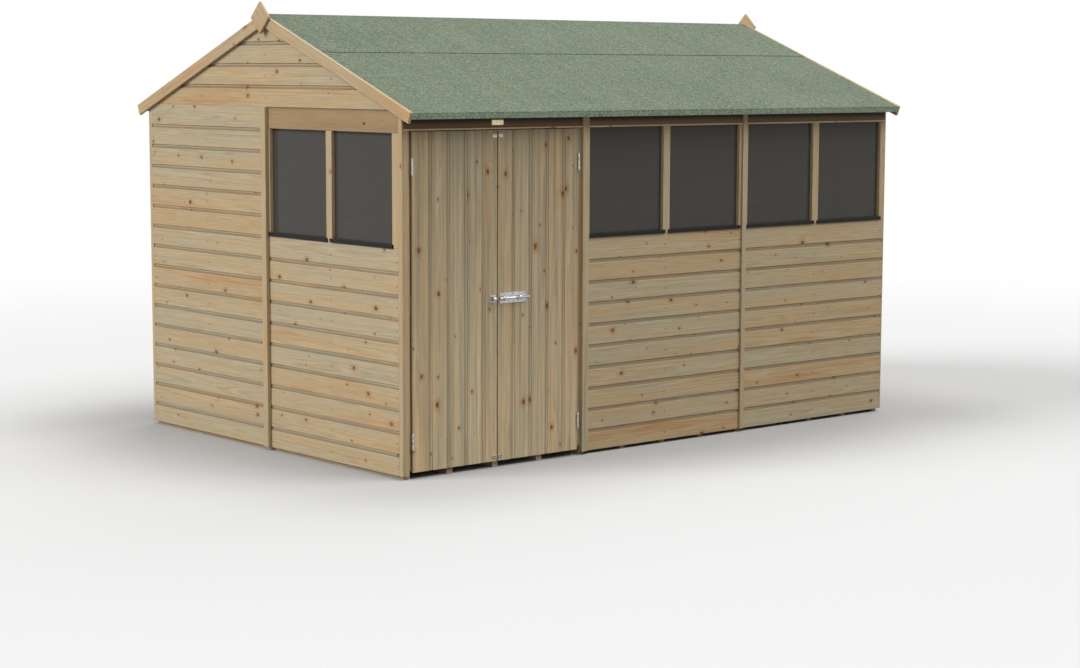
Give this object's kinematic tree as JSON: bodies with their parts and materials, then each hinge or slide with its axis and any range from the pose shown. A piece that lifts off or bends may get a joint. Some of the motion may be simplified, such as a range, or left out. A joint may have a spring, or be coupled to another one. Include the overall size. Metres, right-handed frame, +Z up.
{
  "type": "wooden garden shed",
  "caption": "Timber garden shed of shiplap panels with a felted apex roof, double doors at one end of its long side, windows beside them and a pad bolt.",
  "frame": {"origin": "ground level under the middle of the shed", "axes": "+X along the front, away from the doors' end; the doors face -Y; +Z up"},
  "size_m": [3.688, 2.5836, 2.4041],
  "materials": {
    "cladding_wood": "pressure treated softwood, sawn and planed",
    "door_wood": "pressure treated softwood, upright boards",
    "trim_wood": "planed softwood strips and barge boards",
    "frame_wood": "sawn softwood battens",
    "floor_wood": "sawn softwood floor boards and bearers",
    "roof_wood": "roof boards, unpainted underneath",
    "roof_felt": "green mineral felt",
    "window_glass": "clear",
    "drip_plastic": "black extruded strip",
    "galvanised": "bright zinc plated",
    "plaque_brass": "bare pale plate"
  },
  "bodies": {
    "shed": {"front_cladding": "cladding_wood", "head_boards": "cladding_wood", "left_cladding": "cladding_wood", "left_gable_cladding": "cladding_wood", "right_cladding": "cladding_wood", "right_gable_cladding": "cladding_wood", "back_cladding": "cladding_wood", "front_cover_strips": "trim_wood", "left_cover_strips": "trim_wood", "right_cover_strips": "trim_wood", "back_cover_strips": "trim_wood", "barge_boards": "trim_wood", "finials": "trim_wood", "door_frame": "trim_wood", "front_frames": "frame_wood", "left_frames": "frame_wood", "right_frames": "frame_wood", "back_frames": "frame_wood", "gable_frames": "frame_wood", "ridge_board": "frame_wood", "roof_trusses": "frame_wood", "floor_bearers": "floor_wood", "floor_panels": "floor_wood", "roof_deck_front": "roof_wood", "roof_deck_back": "roof_wood", "eaves_rails": "roof_wood", "roof_felt_front": "roof_felt", "roof_felt_back": "roof_felt", "roof_felt_ridge": "roof_felt", "front_glass": "window_glass", "left_glass": "window_glass", "window_drip_strips": "drip_plastic", "post_hinges": "galvanised", "door_plaque": "plaque_brass"},
    "left_door": {"left_door_boards": "door_wood", "left_door_ledges": "door_wood", "left_door_hinges": "galvanised", "left_door_catches": "galvanised", "bolt_keep": "galvanised"},
    "right_door": {"right_door_boards": "door_wood", "right_door_ledges": "door_wood", "right_door_hinges": "galvanised", "right_door_catches": "galvanised", "bolt_plate": "galvanised"},
    "bolt": {"bolt_rod": "galvanised"}
  },
  "joints": [
    {"name": "left_door_hinge", "type": "hinge", "parent": "shed", "child": "left_door", "pos_m": [-1.7525, -1.2025, 0.88], "axis": [0, 0, -1], "range_deg": [0, 165]},
    {"name": "right_door_hinge", "type": "hinge", "parent": "shed", "child": "right_door", "pos_m": [-0.6475, -1.2025, 0.88], "axis": [0, 0, 1], "range_deg": [0, 165]},
    {"name": "bolt_slide", "type": "slide", "parent": "right_door", "child": "bolt", "axis": [-1, 0, 0], "range_m": [0, 0.05]}
  ]
}
